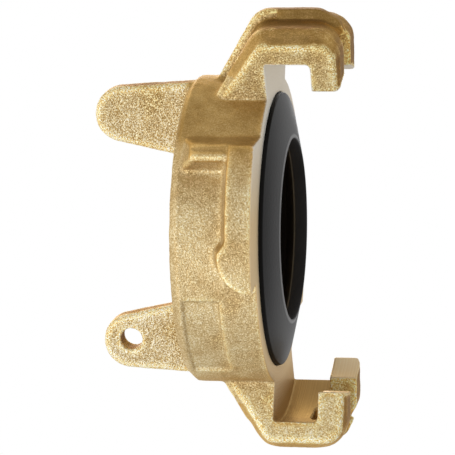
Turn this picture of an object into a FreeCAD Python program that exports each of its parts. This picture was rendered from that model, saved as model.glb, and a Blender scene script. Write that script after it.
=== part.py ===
import FreeCAD, Part
import math
import os
import re
from FreeCAD import Placement, Rotation, Vector
from Sketcher import Constraint

# Claw coupling blanking cap: a one-piece cast brass cap with two hook claws, two cam flanges,
# two ears on its closed back, and a rubber seal ring pressed into its turned front face.
# The cap stands on its claw fronts: Z is the coupling axis, the ears point up, +X is one claw.

doc = FreeCAD.newDocument("blanking_cap")

# Driving dimensions, in millimetres and degrees
SIZES = {
    # Body: the round cup between claws and ears
    "body_radius": 22.4,
    "body_depth": 12.4,
    "back_rim_bevel": 1.1,
    "face_height": 10.4,
    # Where claws, flanges and ribs start inside the cup's wall, and how far a cut runs past its metal
    "core_radius": 19.0,
    "cut_past": 1.0,
    # Turned recess for the seal, and the closed hollow behind it
    "seat_radius": 19.9,
    "seat_lip": 1.6,
    "groove_radius": 20.9,
    "ledge_depth": 4.2,
    "hollow_radius": 16.5,
    "hollow_depth": 8.9,
    "hollow_bevel": 1.5,
    # Seal ring
    "seal_clearance": 0.05,
    "seal_foot_inner_radius": 16.9,
    "seal_proud": 0.55,
    "seal_crest_height": 2.15,
    "seal_bore_radius": 13.2,
    "seal_lip_thickness": 1.85,
    "seal_edge_bevel": 0.25,
    "seal_foot_height": 1.5,
    # Claws: a hook each side, turned out on the inside
    "claw_half_angle": 22.5,
    "claw_front_inset": 0.4,
    "claw_back_reach": 6.8,
    "claw_crown_half_width": 8.0,
    "claw_crown_wall": 2.85,
    "claw_crown_back_height": 1.76,
    "claw_side_reach": 6.45,
    "claw_side_wall": 2.95,
    "claw_side_back_height": 0.7,
    "crown_front_round": 4.1,
    "crown_back_round": 3.0,
    "side_front_round": 2.3,
    "side_back_round": 1.8,
    # Narrow rib along the middle of each claw
    "keel_width": 2.8,
    "keel_rise": 1.45,
    "keel_reach": 8.4,
    "keel_back_height": 2.5,
    "keel_back_round": 3.5,
    "keel_front_height": 3.9,
    "keel_front_round": 2.0,
    "keel_nose_wall": 2.75,
    "keel_nose_height": 1.1,
    "keel_root_wall": 0.6,
    # Throat inside the claws
    "throat_height": 6.4,
    "throat_radius": 28.15,
    "throat_corner_round": 0.9,
    "tooth_reach": 4.45,
    # Slot that splits each tooth into two prongs
    "slot_width": 6.6,
    "slot_bite": 0.55,
    "slot_depth": 6.1,
    "slot_corner_round": 1.6,
    # Cam flange: the mating claws slide behind it up to the stop rib
    "flange_radius": 26.8,
    "flange_width": 3.6,
    "flange_draft": 1.2,
    "flange_end_flat": 16.7,
    "flange_end_angle": 50.0,
    "flange_lock_angle": 9.0,
    "detent_angle": 5.5,
    "detent_width": 4.75,
    "lead_in_angle": -6.5,
    "lead_in_width": 1.6,
    "rib_step": 0.5,
    "rib_angle": 34.3,
    "rib_length": 8.9,
    "rib_draft": 2.0,
    "rib_end_round": 1.0,
    # Bare field on one side of the cup
    "field_depth": 0.35,
    "field_near": 5.5,
    "field_far": 10.7,
    "field_start_angle": 14.0,
    "field_end_angle": 52.0,
    # Ears on the back, one with the chain hole
    "ear_thickness": 3.4,
    "ear_tip_round": 4.1,
    "ear_apex_height": 38.9,
    "ear_apex_offset": 19.4,
    "ear_outer_root": 21.95,
    "ear_inner_root": 10.15,
    "ear_root_depth": 2.0,
    "chain_hole_radius": 1.6,
    "chain_hole_offset": 16.7,
    "chain_hole_height": 10.0,
    # Soft cast edges
    "ear_edge_bevel": 0.5,
    "ear_root_round": 0.8,
    "claw_edge_round": 0.6,
    "keel_edge_bevel": 0.35,
    "rib_edge_round": 0.5,
}

sheet = doc.addObject("Spreadsheet::Sheet", "Sizes")
for row, (alias, number) in enumerate(SIZES.items(), start=1):
    sheet.set(f"A{row}", alias)
    sheet.set(f"B{row}", str(number))
    sheet.setAlias(f"B{row}", alias)
doc.recompute()

ALIASES = re.compile(r"\b(" + "|".join(SIZES) + r")\b")
FULL_TURN = "360"

# How near an edge's middle must lie to a face or radius to count as on it
TOLERANCE = 0.01


# The value of a formula written in the sheet's own names
def value(formula):
    return float(sheet.evalExpression(str(formula)))


# Ties a property, or a sketch's constraint, to a formula written in the sheet's names
def bind(target, prop, formula):
    target.setExpression(prop, ALIASES.sub(r"Sizes.\1", str(formula)))


# A sketch on one of the body's own origin planes, moved along its normal or turned about Z
def new_sketch(body, name, role, offset="0", turn="0"):
    sketch = body.newObject("Sketcher::SketchObject", name)
    plane = next(item for item in body.Origin.OriginFeatures if item.Role == role)
    sketch.AttachmentSupport = [(plane, "")]
    sketch.MapMode = "FlatFace"
    sketch.AttachmentOffset = Placement(Vector(0, 0, value(offset)), Rotation(Vector(0, 1, 0), value(turn)))
    if offset != "0":
        bind(sketch, "AttachmentOffset.Base.z", offset)
    if turn != "0":
        bind(sketch, "AttachmentOffset.Rotation.Angle", turn)
    return sketch


# Holds one point of a sketch at a formula's place
def hold_point(sketch, geometry, position, corner):
    for kind, formula in zip(("DistanceX", "DistanceY"), corner):
        index = sketch.addConstraint(Constraint(kind, -1, 1, geometry, position, value(formula)))
        bind(sketch, f"Constraints[{index}]", formula)


# A closed outline of straight sides: each corner is (x, y) or (x, y, round), written as formulas
def draw_outline(sketch, corners):
    points = [Vector(value(corner[0]), value(corner[1]), 0) for corner in corners]
    count = len(points)
    enter, leave, arcs = list(points), list(points), {}
    for i, corner in enumerate(corners):
        if len(corner) < 3:
            continue
        back = (points[i - 1] - points[i]).normalize()
        ahead = (points[(i + 1) % count] - points[i]).normalize()
        half = math.acos(back.dot(ahead)) / 2
        radius = value(corner[2])
        enter[i] = points[i] + back * (radius / math.tan(half))
        leave[i] = points[i] + ahead * (radius / math.tan(half))
        centre = points[i] + (back + ahead).normalize() * (radius / math.sin(half))
        left_turn = ahead.cross(back).z > 0
        first, last = (enter[i], leave[i]) if left_turn else (leave[i], enter[i])
        angles = [math.atan2(point.y - centre.y, point.x - centre.x) for point in (first, last)]
        if angles[1] < angles[0]:
            angles[1] += 2 * math.pi
        circle = Part.Circle(centre, Vector(0, 0, 1), radius)
        arcs[i] = (sketch.addGeometry(Part.ArcOfCircle(circle, *angles)), left_turn)
    sides = [sketch.addGeometry(Part.LineSegment(leave[i], enter[(i + 1) % count])) for i in range(count)]
    for i, corner in enumerate(corners):
        before, after = sides[i - 1], sides[i]
        if i not in arcs:
            sketch.addConstraint(Constraint("Coincident", before, 2, after, 1))
            hold_point(sketch, after, 1, corner)
            continue
        arc, left_turn = arcs[i]
        start, end = (1, 2) if left_turn else (2, 1)
        sketch.addConstraint(Constraint("Tangent", before, 2, arc, start))
        sketch.addConstraint(Constraint("Tangent", arc, end, after, 1))
        index = sketch.addConstraint(Constraint("Radius", arc, value(corner[2])))
        bind(sketch, f"Constraints[{index}]", corner[2])
        apex = sketch.addGeometry(Part.Point(points[i]), True)
        sketch.addConstraint(Constraint("PointOnObject", apex, 1, before))
        sketch.addConstraint(Constraint("PointOnObject", apex, 1, after))
        hold_point(sketch, apex, 1, corner)
    return sketch


# A solid of revolution about Z, or a cut of that form; a sector lies evenly about its sketch
def revolve(body, kind, name, sketch, angle=FULL_TURN):
    feature = body.newObject(f"PartDesign::{kind}", name)
    feature.Profile = sketch
    feature.ReferenceAxis = (sketch, ["V_Axis"])
    feature.Midplane = angle != FULL_TURN
    feature.Angle = value(angle)
    if angle != FULL_TURN:
        bind(feature, "Angle", angle)
    body.Tip = feature
    return feature


# A straight extrusion, or a cut of that form, centred on its sketch
def extrude(body, kind, name, sketch, length):
    feature = body.newObject(f"PartDesign::{kind}", name)
    feature.Profile = sketch
    feature.Midplane = True
    feature.Length = value(length)
    bind(feature, "Length", length)
    body.Tip = feature
    return feature


# A ruled solid through the given sections
def loft(body, name, sections):
    feature = body.newObject("PartDesign::AdditiveLoft", name)
    feature.Profile = sections[0]
    feature.Sections = sections[1:]
    feature.Ruled = True
    body.Tip = feature
    return feature


# The second copy of the given features, half a turn round the axis
def half_turn_pair(body, name, features):
    pattern = body.newObject("PartDesign::PolarPattern", name)
    pattern.Originals = features
    turning = next(item for item in body.Origin.OriginFeatures if item.Role == "Z_Axis")
    pattern.Axis = (turning, [""])
    pattern.Angle = value(FULL_TURN)
    pattern.Occurrences = 2
    body.Tip = pattern
    return pattern


# Softens every edge of the body's last feature whose middle point passes the test
def soften_edges(body, kind, name, size, chosen):
    doc.recompute()
    base = body.Tip
    edges = base.Shape.Edges
    middles = [edge.valueAt((edge.FirstParameter + edge.LastParameter) / 2) for edge in edges]
    names = [f"Edge{i + 1}" for i, middle in enumerate(middles) if chosen(edges[i], middle)]
    feature = body.newObject(f"PartDesign::{kind}", name)
    feature.Base = (base, names)
    amount = "Radius" if kind == "Fillet" else "Size"
    setattr(feature, amount, value(size))
    bind(feature, amount, size)
    body.Tip = feature
    return feature


body = doc.addObject("PartDesign::Body", "cap_body")
body.Label = "cap_body"


# One section of a raised band on the cup's side: its crest drafts down to the cup behind it
def band_section(name, start, crest, width, draft, angle, rounds=()):
    section = new_sketch(body, name, "XZ_Plane", turn=f"{angle} - 90")
    return draw_outline(section, [
        ("core_radius", start),
        (crest, start),
        (crest, f"face_height + {width}", *rounds),
        ("body_radius", f"face_height + {width} + {draft}"),
        ("core_radius", f"face_height + {width} + {draft}"),
    ])


# Cam flange: the mating claw locks behind this drafted sector, up to the stop rib
flange_foot = "flange_width + flange_draft"
lock = band_section("lock_section", "face_height", "flange_radius", "flange_width", "flange_draft",
                    "(flange_lock_angle + flange_end_angle) / 2")
flange = revolve(body, "Revolution", "flange_lock", lock, "flange_end_angle - flange_lock_angle")
rib_section = band_section("rib_section", "face_height + flange_width / 2", "flange_radius - rib_step",
                           "rib_length", "rib_draft", "(rib_angle + flange_end_angle) / 2", ["rib_end_round"])
rib = revolve(body, "Revolution", "stop_rib", rib_section, "flange_end_angle - rib_angle")

# Flat end shared by flange and rib
beyond = new_sketch(body, "flange_end_section", "XY_Plane")
draw_outline(beyond, [
    ("flange_end_flat", "0"),
    ("flange_radius + cut_past", "0"),
    ("flange_radius + cut_past", "-flange_radius - cut_past"),
    ("flange_end_flat", "-flange_radius - cut_past"),
])
flange_end = extrude(body, "Pocket", "flange_end", beyond, "2 * (face_height + body_depth)")

# Lead-in: the flange widens to the detent, then curves away to its lower end
LEAD_IN_STEPS = 6
lead_in_sections = []
for step in range(LEAD_IN_STEPS + 1):
    share = (step - 1) / (LEAD_IN_STEPS - 1)
    if step == 0:
        angle, width = "flange_lock_angle", "flange_width"
    else:
        angle = f"detent_angle - (detent_angle - lead_in_angle) * {share}"
        width = f"detent_width - (detent_width - lead_in_width) * {share ** 3}"
    lead_in_sections.append(
        band_section(f"lead_in_section_{step}", "face_height", "flange_radius", width, "flange_draft", angle))
lead_in = loft(body, "lead_in", lead_in_sections)
half_turn_pair(body, "flange_pair", [flange, rib, flange_end, lead_in])

# Cup: the round body with a bevelled back rim
cup = new_sketch(body, "cup_section", "XZ_Plane")
draw_outline(cup, [
    ("0", "face_height"),
    ("body_radius", "face_height"),
    ("body_radius", "face_height + body_depth - back_rim_bevel"),
    ("body_radius - back_rim_bevel", "face_height + body_depth"),
    ("0", "face_height + body_depth"),
])
revolve(body, "Revolution", "cup", cup)


# One lengthwise section of a claw or its keel: back slope, crown and front, reaching in to the cup
def claw_section(name, reach, radius, back_height, back_round, front, offset="0", turn="0"):
    slope = f"({reach} - {back_height}) / (({radius}) - body_radius)"
    section = new_sketch(body, name, "XZ_Plane", offset, turn)
    return draw_outline(section, [
        ("core_radius", f"face_height + {reach} + (body_radius - core_radius) * {slope}"),
        (radius, f"face_height + {back_height}", back_round),
        *front,
        ("core_radius", front[-1][1]),
    ])


side_radius = "throat_radius + claw_side_wall"
side = ("claw_side_reach", side_radius, "claw_side_back_height", "side_back_round",
        [(side_radius, "claw_front_inset", "side_front_round")])
crown_radius = "throat_radius + claw_crown_wall"
crown = ("claw_back_reach", crown_radius, "claw_crown_back_height", "crown_back_round",
         [(crown_radius, "0", "crown_front_round")])
claw = loft(body, "claw", [
    claw_section("claw_far_side", *side, turn="claw_half_angle"),
    claw_section("claw_far_crown", *crown, offset="-claw_crown_half_width"),
    claw_section("claw_near_crown", *crown, offset="claw_crown_half_width"),
    claw_section("claw_near_side", *side, turn="-claw_half_angle"),
])
half_turn_pair(body, "claw_pair", [claw])

# Turned throat: the face, the bore inside the claw arms and the tooth tips, cut in one setting
throat = new_sketch(body, "throat_section", "XZ_Plane")
tooth_back = "face_height - throat_height"
tooth_tip = "throat_radius - tooth_reach"
draw_outline(throat, [
    ("0", "-cut_past"),
    (tooth_tip, "-cut_past"),
    (tooth_tip, tooth_back),
    ("throat_radius", tooth_back, "throat_corner_round"),
    ("throat_radius", "face_height"),
    ("0", "face_height"),
])
revolve(body, "Groove", "throat", throat)

# Slot through each tooth and into the corner of its arm, which leaves two prongs
slot_section = new_sketch(body, "slot_section", "XZ_Plane")
draw_outline(slot_section, [
    ("core_radius", "-cut_past"),
    ("throat_radius + slot_bite", "-cut_past"),
    ("throat_radius + slot_bite", "slot_depth", "slot_corner_round"),
    ("core_radius", "slot_depth"),
])
slot = extrude(body, "Pocket", "slot", slot_section, "slot_width")
half_turn_pair(body, "slot_pair", [slot])

# Keel: a narrow rib along each claw's middle, whose nose sinks into the crown above the slot
keel_radius = f"{crown_radius} + keel_rise"
keel_root = "throat_radius + keel_root_wall"
keel_nose = [
    (keel_radius, "keel_front_height", "keel_front_round"),
    ("throat_radius + keel_nose_wall", "keel_nose_height", "keel_front_round"),
    (keel_root, "0"),
    (keel_root, "face_height + cut_past"),
]
keel_section = claw_section("keel_section", "keel_reach", keel_radius, "keel_back_height",
                            "keel_back_round", keel_nose)
keel = extrude(body, "Pad", "keel", keel_section, "keel_width")
half_turn_pair(body, "keel_pair", [keel])

# Ears on the closed back: flat tapered plates with round tips
ear_section = new_sketch(body, "ear_section", "XZ_Plane")
back = "face_height + body_depth"
draw_outline(ear_section, [
    ("ear_inner_root", f"{back} - ear_root_depth"),
    ("ear_outer_root", f"{back} - ear_root_depth"),
    ("ear_apex_offset", f"{back} + ear_apex_height", "ear_tip_round"),
])
ear = extrude(body, "Pad", "ear", ear_section, "ear_thickness")
half_turn_pair(body, "ear_pair", [ear])

# Seat, groove and hollow turned into the face
recess = new_sketch(body, "recess_section", "XZ_Plane")
draw_outline(recess, [
    ("0", "face_height - cut_past"),
    ("seat_radius", "face_height - cut_past"),
    ("seat_radius", "face_height + seat_lip"),
    ("groove_radius", "face_height + seat_lip"),
    ("groove_radius", "face_height + ledge_depth"),
    ("hollow_radius", "face_height + ledge_depth"),
    ("hollow_radius", "face_height + hollow_depth - hollow_bevel"),
    ("hollow_radius - hollow_bevel", "face_height + hollow_depth"),
    ("0", "face_height + hollow_depth"),
])
revolve(body, "Groove", "recess", recess)

# Chain hole through one ear
hole_section = new_sketch(body, "chain_hole_section", "XZ_Plane")
rim = hole_section.addGeometry(Part.Circle(Vector(0, 0, 0), Vector(0, 0, 1), value("chain_hole_radius")))
hold_point(hole_section, rim, 3, ("-chain_hole_offset", f"{back} + chain_hole_height"))
round_rim = hole_section.addConstraint(Constraint("Radius", rim, value("chain_hole_radius")))
bind(hole_section, f"Constraints[{round_rim}]", "chain_hole_radius")
extrude(body, "Pocket", "chain_hole", hole_section, "ear_thickness + 2 * cut_past")

# Shallow bare field on the side of the cup, below the flange
field = new_sketch(body, "field_section", "XZ_Plane", turn="-90 - (field_start_angle + field_end_angle) / 2")
draw_outline(field, [
    ("body_radius - field_depth", "face_height + field_near"),
    ("body_radius + cut_past", "face_height + field_near"),
    ("body_radius + cut_past", "face_height + field_far"),
    ("body_radius - field_depth", "face_height + field_far"),
])
revolve(body, "Groove", "field", field, "field_end_angle - field_start_angle")


# Whether a measured length or angle is the one that a formula gives
def matches(measured, formula):
    return abs(measured - value(formula)) < TOLERANCE


# How far a point lies from the axis, and how far behind the face
def place_of(point):
    return math.hypot(point.x, point.y), point.z - value("face_height")


# Outline edges of the ears, without the rim of the chain hole
def on_ear_outline(edge, middle):
    on_face = matches(abs(middle.y), "ear_thickness / 2")
    return on_face and middle.z > value(back) + TOLERANCE and not edge.isClosed()


# Where the ears' faces meet the flat back
def on_ear_root(edge, middle):
    return matches(abs(middle.y), "ear_thickness / 2") and matches(middle.z, back)


# Outer edges of the claws' side faces: back slope, crown and front
def on_claw_side(edge, middle):
    radius, depth = place_of(middle)
    if not matches(math.degrees(math.atan2(abs(middle.y), abs(middle.x))), "claw_half_angle"):
        return False
    if depth > TOLERANCE:
        return radius > value("body_radius") + TOLERANCE
    return radius > value("throat_radius") + TOLERANCE or middle.z < value("claw_front_inset") + TOLERANCE


# Crest edges of the keels; their bevel runs on down the slopes and noses that they pass into
def on_keel_crest(edge, middle):
    return matches(abs(middle.x), keel_radius) and matches(abs(middle.y), "keel_width / 2")


# Edges round the rib's stop face and round its flat end
def on_rib_side(edge, middle):
    radius, depth = place_of(middle)
    if radius < value("body_radius") + TOLERANCE or depth < value(flange_foot):
        return False
    on_stop_face = matches(math.degrees(math.atan2(abs(middle.x), abs(middle.y))), "rib_angle")
    return on_stop_face or matches(abs(middle.x), "flange_end_flat")


soften_edges(body, "Chamfer", "ear_edges", "ear_edge_bevel", on_ear_outline)
soften_edges(body, "Fillet", "ear_roots", "ear_root_round", on_ear_root)
soften_edges(body, "Fillet", "claw_edges", "claw_edge_round", on_claw_side)
soften_edges(body, "Chamfer", "keel_edges", "keel_edge_bevel", on_keel_crest)
soften_edges(body, "Fillet", "rib_edges", "rib_edge_round", on_rib_side)

# Seal ring: a foot held in the groove, a conical front and a thin lip round its bore
seal = doc.addObject("PartDesign::Body", "seal_ring")
seal.Label = "seal_ring"
seal_section = new_sketch(seal, "seal_section", "XZ_Plane")
seat = "seat_radius - seal_clearance"
foot = "groove_radius - seal_clearance"
crest = "face_height - seal_crest_height"
shoulder = "face_height + seat_lip + seal_clearance"
draw_outline(seal_section, [
    (seat, "face_height - seal_proud + seal_edge_bevel"),
    (f"{seat} - seal_edge_bevel", "face_height - seal_proud"),
    ("seal_bore_radius + seal_edge_bevel", crest),
    ("seal_bore_radius", f"{crest} + seal_edge_bevel"),
    ("seal_bore_radius", f"{crest} + seal_lip_thickness"),
    ("seal_foot_inner_radius", "face_height + seal_foot_height"),
    ("seal_foot_inner_radius", "face_height + ledge_depth"),
    (foot, "face_height + ledge_depth"),
    (foot, shoulder),
    (seat, shoulder),
])
revolve(seal, "Revolution", "seal", seal_section)

doc.recompute()
parts = [body, seal]
for item in doc.Objects:
    if "Invalid" in item.State or "Error" in item.State:
        raise RuntimeError(f"{item.Name} failed to build: {item.State}")
for part in parts:
    if part.Shape.isNull() or not part.Shape.isValid() or len(part.Shape.Solids) != 1:
        raise RuntimeError(f"{part.Label} is not one valid solid")

os.makedirs("parts", exist_ok=True)
for part in parts:
    part.Shape.exportStep(f"parts/{part.Label}.step")
    box = part.Shape.BoundBox
    sides = [round(side, 2) for side in (box.XLength, box.YLength, box.ZLength)]
    print(part.Label, round(part.Shape.Volume, 1), sides)
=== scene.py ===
import bmesh
import bpy
import math
import numpy
from mathutils import Matrix


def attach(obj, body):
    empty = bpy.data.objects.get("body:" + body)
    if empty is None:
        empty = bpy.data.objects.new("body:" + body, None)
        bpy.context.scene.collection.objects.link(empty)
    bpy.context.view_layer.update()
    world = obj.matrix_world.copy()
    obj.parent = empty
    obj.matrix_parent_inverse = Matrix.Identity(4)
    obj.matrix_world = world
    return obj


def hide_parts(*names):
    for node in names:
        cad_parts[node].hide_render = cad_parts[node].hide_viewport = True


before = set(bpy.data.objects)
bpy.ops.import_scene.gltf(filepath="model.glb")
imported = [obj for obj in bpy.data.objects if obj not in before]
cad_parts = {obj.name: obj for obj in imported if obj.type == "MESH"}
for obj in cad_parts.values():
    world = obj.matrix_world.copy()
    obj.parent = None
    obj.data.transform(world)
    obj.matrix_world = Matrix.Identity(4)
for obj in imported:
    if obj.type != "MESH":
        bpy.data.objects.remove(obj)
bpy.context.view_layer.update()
scene = bpy.context.scene
scene.view_settings.view_transform = "Standard"
print("blanking cap: frame loaded")


# Reading, moving and marking the points of a mesh


def evaluated(piece):
    depsgraph = bpy.context.evaluated_depsgraph_get()
    return bpy.data.meshes.new_from_object(piece.evaluated_get(depsgraph))


def applyModifiers(piece):
    piece.data = evaluated(piece)
    piece.modifiers.clear()
    piece.vertex_groups.clear()


def points(mesh):
    flat = numpy.empty(len(mesh.vertices) * 3, numpy.float32)
    mesh.vertices.foreach_get("co", flat)
    return flat.reshape(-1, 3).astype(float)


def normals(mesh):
    flat = numpy.empty(len(mesh.vertices) * 3, numpy.float32)
    mesh.vertex_normals.foreach_get("vector", flat)
    return flat.reshape(-1, 3).astype(float)


def setPoints(mesh, place):
    mesh.vertices.foreach_set("co", place.astype(numpy.float32).ravel())
    mesh.update()


def radii(place):
    return numpy.hypot(place[:, 0], place[:, 1])


def rising(values, start, length):
    return numpy.clip((values - start) / length, 0, 1)


def falling(values, end, length):
    return numpy.clip((end - values) / length, 0, 1)


def storeValue(mesh, name, values):
    layer = mesh.attributes.new(name, "FLOAT", "POINT")
    layer.data.foreach_set("value", values.astype(numpy.float32))


def spread(mesh, values, steps):
    ends = numpy.empty(len(mesh.edges) * 2, numpy.int32)
    mesh.edges.foreach_get("vertices", ends)
    first, second = ends[0::2], ends[1::2]
    shares = numpy.bincount(ends, minlength=len(values)) + 1
    for step in range(steps):
        total = values + numpy.bincount(first, values[second], len(values))
        total += numpy.bincount(second, values[first], len(values))
        values = total / shares
    return values


def weigh(piece, name, values, levels=8):
    group = piece.vertex_groups.new(name=name)
    steps = numpy.rint(values * levels).astype(int)
    for level in range(1, levels + 1):
        group.add(numpy.flatnonzero(steps == level).tolist(), level / levels, "REPLACE")


def addSmooth(piece, steps, group="", factor=0.5):
    smooth = piece.modifiers.new("smooth", "SMOOTH")
    smooth.factor = factor
    smooth.iterations = steps
    smooth.vertex_group = group


# Cast body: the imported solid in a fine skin, softened where the metal is as cast

castBody = {
    "weld": 1e-7, "voxel": 0.00016,  # corners of the solid are merged, then it gets a skin on this grid
    "settleSteps": 3, "castSteps": 11,  # smoothing everywhere, then on cast metal alone
    "triangles": 185000,
    # turned faces stay true: how close to one, and how square to it, counts as turned
    "near": 0.00013, "square": 0.5, "castBlend": 2, "turnedBlend": 1,
    "faceHeight": 0.0104, "throatRadius": 0.02815, "toothBack": 0.004, "toothTip": 0.0237,
    "recessRadius": 0.0209, "recessDepth": 0.0195,
    # the feet of all raised forms are filleted
    "footSteps": 90, "footShare": 0.85, "footRadius": 0.0223, "footBlend": 3,
    # crowns of the claws, between the keel and the side faces: flattened, then rounded most of all
    "crownFrom": 0.0017, "crownTo": 0.0112, "crownFade": 0.0008,
    "crownSag": 0.00021, "sagTo": 0.008, "crownBase": 0.029, "crownTip": 0.002,
    "crownSteps": 350, "crownRadius": 0.028, "crownTilt": 0.4, "crownCast": 0.9, "crownBlend": 4,
    # unevenness left by the mould
    "swellDepth": 0.00012, "swellSize": 0.0016, "swellLevel": 0.8,
    # convexity is measured over this width for painted highlights and shade, but not on the rim below the
    # ears
    "edgeSteps": 60, "edgeScale": 0.0001, "rimFrom": 0.0209, "earFoot": 0.0229,
    # the keel down the middle of each claw and the slopes beside it are satin, with painted shade
    "keelRadius": 0.0300, "keelBack": 0.0097, "keelSide": 0.0026, "keelTilt": 0.8,
    "slopeRadius": 0.0255, "slopeTurn": 0.68, "slopeTilt": 0.78, "lowTilt": 0.55, "tiltBlend": 4,
    # claws, ears and the blades that join them to the cup have the coarser blast
    "clawFoot": 0.0262, "bladeFrom": 0.0185, "bladeRadius": 0.0226, "blastBlend": 6,
    # floors of the slots
    "slotSide": 0.0036, "slotFrom": 0.0236, "slotEnd": 0.0060, "slotBlend": 2,
    "pocket": {  # the round end of each slot in the floor of its claw
        "low": (0.0262, -0.0033, 0.003), "high": (0.0292, 0.0033, 0.0061),
        "corner": 0.0015, "segments": 6,
    },
    "stopRibs": {  # the stop ribs have a pillowed crest behind a groove
        "grooveAt": 0.01622, "grooveWidth": 0.00022, "grooveDepth": 0.0003,
        "crestAt": 0.01545, "crestWidth": 0.0006, "crestRise": 0.00015,
        "radius": 0.0252, "reach": 0.017031, "from": 0.0142, "to": 0.0196, "fade": 0.0006,
    },
    "field": {  # the bare field on the side is a little deeper than its nominal step
        "from": 14, "to": 52, "low": 0.0159, "high": 0.0211, "floor": 0.0222, "reach": 0.001,
        "depth": 0.00006, "blend": 4,
    },
}


def weldedCopy(source, distance):
    mesh = source.copy()
    welded = bmesh.new()
    welded.from_mesh(mesh)
    bmesh.ops.remove_doubles(welded, verts=welded.verts, dist=distance)
    welded.to_mesh(mesh)
    welded.free()
    return mesh


def turnedFaces(mesh, v):
    place, outward = points(mesh), normals(mesh)
    near, square = v["near"], v["square"]
    radius, height = radii(place), place[:, 2]
    away = (place[:, :2] * outward[:, :2]).sum(axis=1) / numpy.maximum(radius, near)
    between = (height > v["toothBack"] - near) & (height < v["faceHeight"] + near)
    turned = (abs(height - v["faceHeight"]) < near) & (outward[:, 2] < -square)
    turned |= (abs(radius - v["throatRadius"]) < near) & (away < -square) & between
    turned |= (abs(height - v["toothBack"]) < near) & (outward[:, 2] > square) & (radius < v["throatRadius"])
    turned |= (abs(radius - v["toothTip"]) < near) & (away < -square) & (height < v["toothBack"])
    turned |= (radius < v["recessRadius"] + near) & (height < v["recessDepth"])
    return turned.astype(float)


def cutPocket(body, v):
    low, high = v["low"], v["high"]
    block = bmesh.new()
    bmesh.ops.create_cube(block, size=1)
    bmesh.ops.scale(block, vec=[high[i] - low[i] for i in range(3)], verts=block.verts)
    bmesh.ops.translate(block, vec=[(high[i] + low[i]) / 2 for i in range(3)], verts=block.verts)
    inward = [edge for edge in block.edges if abs(edge.verts[0].co.x - edge.verts[1].co.x) > v["corner"]]
    bmesh.ops.bevel(block, geom=inward, offset=v["corner"], segments=v["segments"], profile=0.5,
                    material=-1, affect="EDGES")
    other = bmesh.ops.duplicate(block, geom=block.verts[:] + block.edges[:] + block.faces[:])
    across = [part for part in other["geom"] if isinstance(part, bmesh.types.BMVert)]
    bmesh.ops.rotate(block, cent=(0, 0, 0), matrix=Matrix.Rotation(math.pi, 3, "Z"), verts=across)
    mesh = bpy.data.meshes.new("slotPocket")
    block.to_mesh(mesh)
    block.free()
    cutter = bpy.data.objects.new("slotPocket", mesh)
    scene.collection.objects.link(cutter)
    cut = body.modifiers.new("pocket", "BOOLEAN")
    cut.operation = "DIFFERENCE"
    cut.object = cutter
    return cutter


def flattenCrowns(mesh, v):
    place, fade = points(mesh), v["crownFade"]
    radius, height = radii(place), place[:, 2]
    share = rising(abs(place[:, 1]), v["crownFrom"], v["sagTo"] - v["crownFrom"])
    crown = rising(radius, v["crownBase"], fade) * rising(height, v["crownTip"], v["crownTip"])
    back = rising(radius, v["slopeRadius"], fade) * rising(height, v["faceHeight"], fade)
    sag = v["crownSag"] * 4 * share * (1 - share) * numpy.maximum(crown, back)
    place[:, 0] -= numpy.sign(place[:, 0]) * sag
    setPoints(mesh, place)


def shapeRibs(mesh, v):
    place = points(mesh)
    radius, height = radii(place), place[:, 2]
    across = abs(place[:, 0])
    inside = rising(height, v["from"], v["fade"]) * falling(height, v["to"], v["fade"])
    inside *= (radius > v["radius"]) & (place[:, 0] * place[:, 1] < 0) & (across < v["reach"])
    move = v["crestRise"] * numpy.exp(-((across - v["crestAt"]) / v["crestWidth"]) ** 2)
    move -= v["grooveDepth"] * numpy.exp(-((across - v["grooveAt"]) / v["grooveWidth"]) ** 2)
    place[:, :2] *= (1 + inside * move / numpy.maximum(radius, v["fade"]))[:, None]
    setPoints(mesh, place)


def sinkField(mesh, v):
    place = points(mesh)
    radius, height = radii(place), place[:, 2]
    angle = numpy.degrees(numpy.arctan2(-place[:, 0], -place[:, 1]))
    inside = (angle > v["from"]) & (angle < v["to"]) & (height > v["low"]) & (height < v["high"])
    inside &= (radius < v["floor"]) & (radius > v["floor"] - v["reach"])
    share = spread(mesh, inside.astype(float), v["blend"])
    place[:, :2] *= (1 - v["depth"] * share / numpy.maximum(radius, v["reach"]))[:, None]
    setPoints(mesh, place)


def roundFeet(mesh, broad, cast, v):
    place, outward = points(mesh), normals(mesh)
    rise = ((points(broad) - place) * outward).sum(axis=1)
    foot = (rise > 0) & (radii(place) > v["footRadius"])
    share = spread(mesh, numpy.where(foot, v["footShare"], 0.0), v["footBlend"]) * cast
    setPoints(mesh, place + outward * (rise * share)[:, None])


def crownShare(mesh, cast, v):
    place, outward = points(mesh), normals(mesh)
    across, fade = abs(place[:, 1]), v["crownFade"]
    share = rising(across, v["crownFrom"], fade) * falling(across, v["crownTo"], fade)
    share *= (radii(place) > v["crownRadius"]) & (abs(outward[:, 0]) > v["crownTilt"])
    return spread(mesh, share * (cast > v["crownCast"]), v["crownBlend"])


def addSwell(piece, group, v):
    swell = piece.modifiers.new("swell", "DISPLACE")
    swell.texture = bpy.data.textures.new("castSwell", "CLOUDS")
    swell.texture.noise_scale = v["swellSize"]
    swell.texture_coords = "LOCAL"
    swell.strength = v["swellDepth"]
    swell.mid_level = v["swellLevel"]
    swell.vertex_group = group


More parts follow.
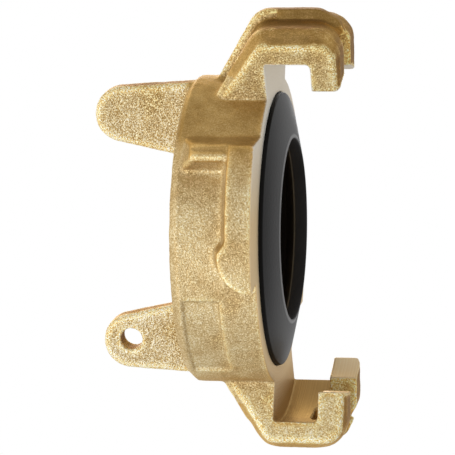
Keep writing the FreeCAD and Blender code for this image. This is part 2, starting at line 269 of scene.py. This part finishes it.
def storeFinish(fine, edgeGauge, broad, turned, v):
    place, facing, outward = points(fine), normals(fine), normals(broad)
    radius, height = radii(place), place[:, 2]
    along, across = abs(place[:, 0]), abs(place[:, 1])
    keel = (radius > v["keelRadius"]) & (across < v["keelSide"]) & (height < v["keelBack"])
    slope = (radius > v["slopeRadius"]) & (abs(facing[:, 1]) < v["slopeTurn"]) & (height < v["earFoot"])
    # convexity is 0 in a foot, 0.5 on a flat and 1 on an edge; the brass paints highlight and shade by it
    convexity = ((place - points(edgeGauge)) * facing).sum(axis=1) / v["edgeScale"]
    convexity *= ((height < v["rimFrom"]) | (height > v["earFoot"])) & ~keel
    storeValue(fine, "convexity", numpy.clip(convexity * 0.5 + 0.5, 0, 1))
    storeValue(fine, "machined", spread(fine, turned, v["turnedBlend"]))
    # tilt is how far a face turns to the claws' crowns or the front; the brass paints satin and shade by it
    tilt = numpy.maximum(outward[:, 0], -v["lowTilt"] * outward[:, 0])
    for part in (-outward[:, 2], keel * v["keelTilt"], slope * v["slopeTilt"]):
        tilt = numpy.maximum(tilt, part)
    storeValue(fine, "tilt", spread(fine, tilt, v["tiltBlend"]))
    blasted = (height > v["earFoot"]) | (height < v["faceHeight"]) | (along > v["clawFoot"])
    blasted |= (along > v["bladeFrom"]) & (radius > v["bladeRadius"]) & (abs(facing[:, 1]) > v["slopeTurn"])
    storeValue(fine, "blast", spread(fine, blasted.astype(float), v["blastBlend"]))
    slot = (across < v["slotSide"]) & (radius > v["slotFrom"]) & (height < v["slotEnd"]) & ~keel
    storeValue(fine, "slot", spread(fine, slot.astype(float), v["slotBlend"]))


def makeCastBody(v):
    body = bpy.data.objects.new("castBody", weldedCopy(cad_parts["cap_body"].data, v["weld"]))
    scene.collection.objects.link(body)
    cutter = cutPocket(body, v["pocket"])
    skin = body.modifiers.new("skin", "REMESH")
    skin.mode = "VOXEL"
    skin.voxel_size = v["voxel"]
    skin.use_smooth_shade = True
    addSmooth(body, v["settleSteps"])
    applyModifiers(body)
    bpy.data.objects.remove(cutter)
    turned = turnedFaces(body.data, v)
    cast = 1 - spread(body.data, turned, v["castBlend"])
    # forms that the solid has plain
    flattenCrowns(body.data, v)
    shapeRibs(body.data, v["stopRibs"])
    sinkField(body.data, v["field"])
    # soft feet, crowns and edges
    addSmooth(body, v["footSteps"])
    broad = evaluated(body)
    body.modifiers.clear()
    roundFeet(body.data, broad, cast, v)
    weigh(body, "crown", crownShare(body.data, cast, v))
    addSmooth(body, v["crownSteps"], "crown")
    applyModifiers(body)
    weigh(body, "cast", cast)
    addSmooth(body, v["castSteps"], "cast")
    addSwell(body, "cast", v)
    fine = evaluated(body)
    addSmooth(body, v["edgeSteps"])
    edgeGauge = evaluated(body)
    body.modifiers.clear()
    body.vertex_groups.clear()
    body.data = fine
    storeFinish(fine, edgeGauge, broad, turned, v)
    thin = body.modifiers.new("thin", "DECIMATE")
    thin.ratio = v["triangles"] / (2 * len(fine.polygons))  # the skin is all quads
    applyModifiers(body)
    body.data.materials.clear()
    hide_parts("cap_body")
    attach(body, "root")
    return body


# Seal: a turned rubber ring with a rounded lip, held by its foot in the groove

sealRing = {
    "seat": 0.01985, "foot": 0.02085, "footInner": 0.0169, "bore": 0.0132,
    "face": 0.0104, "proud": 0.00055, "crest": 0.00215, "lip": 0.00185,
    "shoulder": 0.00165, "footDepth": 0.0042, "footHeight": 0.0015,
    "soften": 0.00018, "softSegments": 3, "steps": 180,
}


def makeSealRing(v):
    face = v["face"]
    outline = [
        (v["seat"], face - v["proud"]), (v["bore"], face - v["crest"]),
        (v["bore"], face - v["crest"] + v["lip"]), (v["footInner"], face + v["footHeight"]),
        (v["footInner"], face + v["footDepth"]), (v["foot"], face + v["footDepth"]),
        (v["foot"], face + v["shoulder"]), (v["seat"], face + v["shoulder"]),
    ]
    ring = bmesh.new()
    ring.faces.new([ring.verts.new((radius, 0, height)) for radius, height in outline])
    bmesh.ops.bevel(ring, geom=list(ring.verts), offset=v["soften"], segments=v["softSegments"],
                    profile=0.5, material=-1, affect="VERTICES")
    loop = list(ring.edges)
    bmesh.ops.delete(ring, geom=list(ring.faces), context="FACES_ONLY")
    bmesh.ops.spin(ring, geom=loop, cent=(0, 0, 0), axis=(0, 0, 1), angle=2 * math.pi,
                   steps=v["steps"], use_merge=True)
    bmesh.ops.recalc_face_normals(ring, faces=ring.faces)
    for side in ring.faces:
        side.smooth = True
    mesh = bpy.data.meshes.new("sealRing")
    ring.to_mesh(mesh)
    ring.free()
    seal = bpy.data.objects.new("sealRing", mesh)
    scene.collection.objects.link(seal)
    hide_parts("seal_ring")
    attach(seal, "root")
    return seal


# Nodes that both materials use


def newMaterial(name):
    material = bpy.data.materials.new(name)
    material.use_nodes = True
    return material, material.node_tree


def plug(tree, source, socket):
    if hasattr(source, "is_output"):
        tree.links.new(source, socket)
    else:
        socket.default_value = (*source, 1) if isinstance(source, tuple) else source


def noiseAt(tree, place, grain):
    noise = tree.nodes.new("ShaderNodeTexNoise")
    for name, value in zip(("Scale", "Detail", "Roughness"), grain):
        noise.inputs[name].default_value = value
    tree.links.new(place.outputs["Object"], noise.inputs["Vector"])
    return noise.outputs["Fac"]


def rampOf(tree, value, stops):
    ramp = tree.nodes.new("ShaderNodeValToRGB")
    steps = ramp.color_ramp.elements
    while len(steps) < len(stops):
        steps.new(0.5)
    for step, (position, color) in zip(steps, stops):
        step.position = position
        step.color = (*color, 1)
    tree.links.new(value, ramp.inputs["Fac"])
    return ramp.outputs["Color"]


def maskOf(tree, value, span):
    return rampOf(tree, value, list(zip(span, ((0, 0, 0), (1, 1, 1)))))


def gradeOf(tree, value, span):
    grade = tree.nodes.new("ShaderNodeMapRange")
    for name, end in zip(("From Min", "From Max"), span):
        grade.inputs[name].default_value = end
    tree.links.new(value, grade.inputs["Value"])
    return grade.outputs["Result"]


def mixOf(tree, amount, first, second, blend="MIX"):
    mix = tree.nodes.new("ShaderNodeMix")
    mix.data_type = "RGBA"
    mix.blend_type = blend
    for socket, source in zip((mix.inputs[0], mix.inputs[6], mix.inputs[7]), (amount, first, second)):
        plug(tree, source, socket)
    return mix.outputs[2]


def overlaid(tree, color, tone):
    return mixOf(tree, 1.0, color, tone, "OVERLAY")


def mathOf(tree, operation, *values, clamp=False):
    result = tree.nodes.new("ShaderNodeMath")
    result.operation = operation
    result.use_clamp = clamp
    for socket, source in zip(result.inputs, values):
        plug(tree, source, socket)
    return result.outputs["Value"]


def bumpOf(tree, height, distance, under=None):
    bump = tree.nodes.new("ShaderNodeBump")
    bump.inputs["Distance"].default_value = distance
    tree.links.new(height, bump.inputs["Height"])
    if under:
        tree.links.new(under, bump.inputs["Normal"])
    return bump.outputs["Normal"]


def attributeOf(tree, name):
    reader = tree.nodes.new("ShaderNodeAttribute")
    reader.attribute_name = name
    return reader.outputs["Fac"]


def radiusOf(tree, place):
    flat = tree.nodes.new("ShaderNodeVectorMath")
    flat.operation = "MULTIPLY"
    flat.inputs[1].default_value = (1, 1, 0)
    tree.links.new(place.outputs["Object"], flat.inputs[0])
    length = tree.nodes.new("ShaderNodeVectorMath")
    length.operation = "LENGTH"
    tree.links.new(flat.outputs["Vector"], length.inputs[0])
    return length.outputs["Value"]


# Brass: blasted on ears and claws, satin with painted shade on crowns and front, turned on the machined
# faces

castBrass = {
    # pits, skin and painted glints of the blasted metal, then of the satin metal, partly darkened as painted
    # shade
    "blasted": ((0.31, 0.2, 0.072), (0.545, 0.415, 0.21), (0.95, 0.84, 0.58)),
    "satin": ((0.36, 0.22, 0.068), (0.48, 0.315, 0.115), (0.62, 0.45, 0.2)),
    "satinShadeSpan": (0.42, 0.62),  # satin and painted shade, by how far a face turns to claws or front
    "shadeFrom": 0.7, "paintedShade": (0.24, 0.22, 0.2),  # painted shade: the crowns of the claws are darkest
    # grain, each as scale, detail and roughness; it is strongest on ears and on edges, where its glints are
    # painted highlight
    "coarseGrain": (4300, 2, 0.6), "fineGrain": (7500, 2, 0.5), "fineShare": 0.4,
    "grainSpread": 0.095, "cupGrain": 0.5, "clawGrain": 0.62, "grainDepth": 0.0003, "satinCalm": 0.7,
    # tones that are laid over the cast metal, where 0.5 changes nothing
    "plain": (0.5, 0.5, 0.5),
    "earSpan": (0.0226, 0.0236), "earTone": (0.557, 0.562, 0.59),
    # slotLight is painted light on the shaded floors of the slots
    "clawTone": (0.472, 0.467, 0.44), "cupTone": (0.487, 0.487, 0.49), "slotLight": (0.59, 0.53, 0.42),
    "alongSpan": (0.018, -0.0285),  # from one claw to the other
    # painted light and shade: darker toward the claw at +X, lighter toward the claw at -X
    "alongShading": ((0, (0.49, 0.48, 0.455)), (0.8, (0.525, 0.525, 0.525)), (0.9, (0.595, 0.6, 0.62))),
    "patches": (160, 3, 0.6), "patchTones": ((0.34, (0.385, 0.36, 0.31)), (0.66, (0.585, 0.59, 0.62))),
    # painted light and shade by convexity, from a foot over the flat to an edge: feet lighter on the cup and
    # darker on the claws, edges lighter
    "edgeSpan": (0.6, 0.78),
    "cupLightAndShade": ((0.1, (0.57, 0.565, 0.56)), (0.5, (0.5, 0.5, 0.5)), (0.85, (0.72, 0.715, 0.7))),
    "clawLightAndShade": ((0.15, (0.36, 0.33, 0.28)), (0.47, (0.5, 0.5, 0.5)), (0.8, (0.85, 0.83, 0.77))),
    # the turned metal is greyer at one claw and brown at the other, where the brown is painted shade in the
    # enclosed throat
    "turnedTones": (
        (0, (0.87, 0.86, 0.81)), (0.25, (0.83, 0.67, 0.44)),
        (0.86, (0.83, 0.67, 0.44)), (0.95, (0.53, 0.355, 0.15)),
    ),
    "latheScale": 7000, "latheDetail": 3, "latheDepth": 0.000012,
    "latheTones": ((0.3, (0.43, 0.42, 0.41)), (0.7, (0.54, 0.54, 0.54))),
    "roughness": 0.42, "turnedRoughness": 0.4,
    "metallic": 0.45, "specular": 0.03, "edgeTint": (0.6, 0.42, 0.2),
}


def latheMarks(tree, place, height, v):
    marks = tree.nodes.new("ShaderNodeTexNoise")
    marks.noise_dimensions = "1D"
    marks.inputs["Scale"].default_value = v["latheScale"]
    marks.inputs["Detail"].default_value = v["latheDetail"]
    tree.links.new(mathOf(tree, "ADD", radiusOf(tree, place), height), marks.inputs["W"])
    return marks.outputs["Fac"]


def makeCastBrass(v):
    material, tree = newMaterial("castBrass")
    shader = tree.nodes["Principled BSDF"].inputs
    shader["Metallic"].default_value = v["metallic"]
    shader["Specular IOR Level"].default_value = v["specular"]
    shader["Specular Tint"].default_value = (*v["edgeTint"], 1)
    plain = v["plain"]
    place = tree.nodes.new("ShaderNodeTexCoord")
    split = tree.nodes.new("ShaderNodeSeparateXYZ")
    tree.links.new(place.outputs["Object"], split.inputs["Vector"])
    tilt, turned, convexity, blast, slot = [
        attributeOf(tree, name) for name in ("tilt", "machined", "convexity", "blast", "slot")]
    ears = gradeOf(tree, split.outputs["Z"], v["earSpan"])
    along = gradeOf(tree, split.outputs["X"], v["alongSpan"])
    edgeGauge = maskOf(tree, convexity, v["edgeSpan"])
    # grain, softer on the cup and on the flat sides of the claws
    vigour = mathOf(tree, "MULTIPLY_ADD", edgeGauge, 1 - v["clawGrain"], v["clawGrain"])
    vigour = mathOf(tree, "SUBTRACT", mathOf(tree, "MAXIMUM", vigour, ears), v["cupGrain"])
    vigour = mathOf(tree, "MULTIPLY_ADD", blast, vigour, v["cupGrain"])
    coarse, fine = noiseAt(tree, place, v["coarseGrain"]), noiseAt(tree, place, v["fineGrain"])
    grain = mixOf(tree, vigour, plain, mixOf(tree, v["fineShare"], coarse, fine))
    # blasted metal, and satin metal that is partly painted shade, with its tones
    heights = (0.5 - v["grainSpread"], 0.5, 0.5 + v["grainSpread"])
    blasted = rampOf(tree, grain, list(zip(heights, v["blasted"])))
    shadedSatin = rampOf(tree, grain, list(zip(heights, v["satin"])))
    # painted shade: faces turned furthest to the crowns are darkened
    paintedShade = rampOf(tree, tilt, ((v["shadeFrom"], plain), (1, v["paintedShade"])))
    shadedSatin = mixOf(tree, blast, shadedSatin, overlaid(tree, shadedSatin, paintedShade))
    # painted highlight: the edges of the blasted metal are kept out of the satin
    edgeHighlight = mathOf(tree, "MULTIPLY", edgeGauge, blast)
    satin = mathOf(tree, "SUBTRACT", maskOf(tree, tilt, v["satinShadeSpan"]), edgeHighlight, clamp=True)
    cast = mixOf(tree, satin, blasted, shadedSatin)
    for tone in (
        mixOf(tree, ears, mixOf(tree, blast, plain, v["clawTone"]), v["earTone"]),
        # painted light and shade along the claws
        rampOf(tree, along, v["alongShading"]),
        # painted light in the slots
        mixOf(tree, slot, plain, v["slotLight"]),
        mixOf(tree, blast, v["cupTone"], plain),
        rampOf(tree, noiseAt(tree, place, v["patches"]), v["patchTones"]),
        # painted highlight on edges, painted light and shade in feet
        mixOf(tree, blast, rampOf(tree, convexity, v["cupLightAndShade"]), rampOf(tree, convexity, v["clawLightAndShade"])),
    ):
        cast = overlaid(tree, cast, tone)
    # turned metal with its lathe marks
    marks = latheMarks(tree, place, split.outputs["Z"], v)
    lathed = overlaid(tree, rampOf(tree, along, v["turnedTones"]), rampOf(tree, marks, v["latheTones"]))
    tree.links.new(mixOf(tree, turned, cast, lathed), shader["Base Color"])
    rough = mathOf(tree, "MULTIPLY_ADD", turned, v["turnedRoughness"] - v["roughness"], v["roughness"])
    tree.links.new(rough, shader["Roughness"])
    calm = mathOf(tree, "MULTIPLY_ADD", satin, v["satinCalm"], turned, clamp=True)
    pitted = bumpOf(tree, mixOf(tree, calm, grain, plain), v["grainDepth"])
    ringed = bumpOf(tree, mixOf(tree, turned, plain, marks), v["latheDepth"], pitted)
    tree.links.new(ringed, shader["Normal"])
    return material


# Rubber: matt and black, with painted sheen at the bore, a painted highlight on its rim and painted shade on
# the outer wall

sealRubber = {
    "span": (0.0130, 0.0200),  # radii that the bands lie between: bore (painted sheen), pale rim (painted highlight), face and outer wall (painted shade)
    "bands": (
        (0.03, (0.03, 0.029, 0.029)), (0.06, (0.2, 0.2, 0.2)), (0.09, (0.2, 0.2, 0.2)),
        (0.13, (0.005, 0.0042, 0.0042)), (0.93, (0.005, 0.0042, 0.0042)), (0.96, (0.0015, 0.0013, 0.001)),
    ),
    "dust": (450, 4, 0.65), "dustTones": ((0.35, (0.42, 0.42, 0.42)), (0.7, (0.6, 0.59, 0.58))),
    "dustShare": 0.35, "grain": (2200, 2, 0.5), "grainDepth": 0.00002,
    "roughness": 0.42, "specular": 0.085,
}


def makeSealRubber(v):
    material, tree = newMaterial("sealRubber")
    shader = tree.nodes["Principled BSDF"].inputs
    shader["Roughness"].default_value = v["roughness"]
    shader["Specular IOR Level"].default_value = v["specular"]
    place = tree.nodes.new("ShaderNodeTexCoord")
    # painted sheen, highlight and shade by radius
    bands = rampOf(tree, gradeOf(tree, radiusOf(tree, place), v["span"]), v["bands"])
    dust = rampOf(tree, noiseAt(tree, place, v["dust"]), v["dustTones"])
    color = mixOf(tree, v["dustShare"], bands, overlaid(tree, bands, dust))
    tree.links.new(color, shader["Base Color"])
    tree.links.new(bumpOf(tree, noiseAt(tree, place, v["grain"]), v["grainDepth"]), shader["Normal"])
    return material


body = makeCastBody(castBody)
body.data.materials.append(makeCastBrass(castBrass))
print("blanking cap: body cast,", len(body.data.polygons), "faces")
seal = makeSealRing(sealRing)
seal.data.materials.append(makeSealRubber(sealRubber))
print("blanking cap: seal fitted,", len(seal.data.polygons), "faces")

# Floor, world, lamps and camera

floorPlane = {"size": 3.0, "height": -0.00005, "color": (0.86, 0.86, 0.86), "roughness": 0.9}
worldLight = {"color": (1, 1, 1), "seen": 1.0, "fill": 0.45}
lamps = {
    "keyLamp": {"place": (-0.28, -0.74, 0.6), "size": 0.25, "power": 4.6},
    "backLamp": {"place": (0.1, 0.9, 0.3), "size": 0.6, "power": 4},
    "overLamp": {"place": (0.1, -0.1, 1.0), "size": 0.7, "power": 2},
}
photoCamera = {
    "place": (0.093064, -0.384412, -0.049809), "turn": (176.223, 80.229, 99.767),
    "lens": 217.2, "sensor": 36, "nearest": 0.01, "farthest": 20,
}


def shaderMix(tree, amount, first, second):
    mix = tree.nodes.new("ShaderNodeMixShader")
    for socket, source in zip(mix.inputs, (amount, first, second)):
        tree.links.new(source, socket)
    return mix.outputs["Shader"]


def makeFloor(v):
    bpy.ops.mesh.primitive_plane_add(size=v["size"], location=(0, 0, v["height"]))
    floor = bpy.context.object
    floor.name = "studioFloor"
    floor.visible_diffuse = False
    floor.visible_glossy = False
    floor.visible_transmission = False
    floor.visible_shadow = False
    material, tree = newMaterial("paleFloor")
    paint = tree.nodes["Principled BSDF"]
    paint.inputs["Base Color"].default_value = (*v["color"], 1)
    paint.inputs["Roughness"].default_value = v["roughness"]
    # clear from below, where the photo's camera stands
    side = tree.nodes.new("ShaderNodeNewGeometry").outputs["Backfacing"]
    clear = tree.nodes.new("ShaderNodeBsdfTransparent").outputs["BSDF"]
    surface = shaderMix(tree, side, paint.outputs["BSDF"], clear)
    tree.links.new(surface, tree.nodes["Material Output"].inputs["Surface"])
    floor.data.materials.append(material)


def makeWorld(v):
    world = bpy.data.worlds.new("paleStudio")
    scene.world = world
    world.use_nodes = True
    tree = world.node_tree
    seen, fill = tree.nodes["Background"], tree.nodes.new("ShaderNodeBackground")
    for background, strength in ((seen, v["seen"]), (fill, v["fill"])):
        background.inputs["Color"].default_value = (*v["color"], 1)
        background.inputs["Strength"].default_value = strength
    ray = tree.nodes.new("ShaderNodeLightPath").outputs
    straight = mathOf(tree, "MAXIMUM", ray["Is Camera Ray"], ray["Is Glossy Ray"])
    straight = mathOf(tree, "MAXIMUM", straight, ray["Is Transmission Ray"])
    surface = shaderMix(tree, straight, fill.outputs["Background"], seen.outputs["Background"])
    tree.links.new(surface, tree.nodes["World Output"].inputs["Surface"])


def makeLamp(name, v):
    light = bpy.data.lights.new(name, "AREA")
    light.size = v["size"]
    light.energy = v["power"]
    lamp = bpy.data.objects.new(name, light)
    scene.collection.objects.link(lamp)
    lamp.location = v["place"]
    aim = -lamp.location
    lamp.rotation_euler = aim.to_track_quat("-Z", "Y").to_euler()


def makeCamera(v):
    camera = bpy.data.objects.new("photoCamera", bpy.data.cameras.new("photoCamera"))
    scene.collection.objects.link(camera)
    camera.location = v["place"]
    camera.rotation_euler = [math.radians(angle) for angle in v["turn"]]
    camera.data.lens = v["lens"]
    camera.data.sensor_width = v["sensor"]
    camera.data.clip_start = v["nearest"]
    camera.data.clip_end = v["farthest"]
    scene.camera = camera


makeFloor(floorPlane)
makeWorld(worldLight)
for lampName, lampValues in lamps.items():
    makeLamp(lampName, lampValues)
makeCamera(photoCamera)
print("blanking cap: studio done")
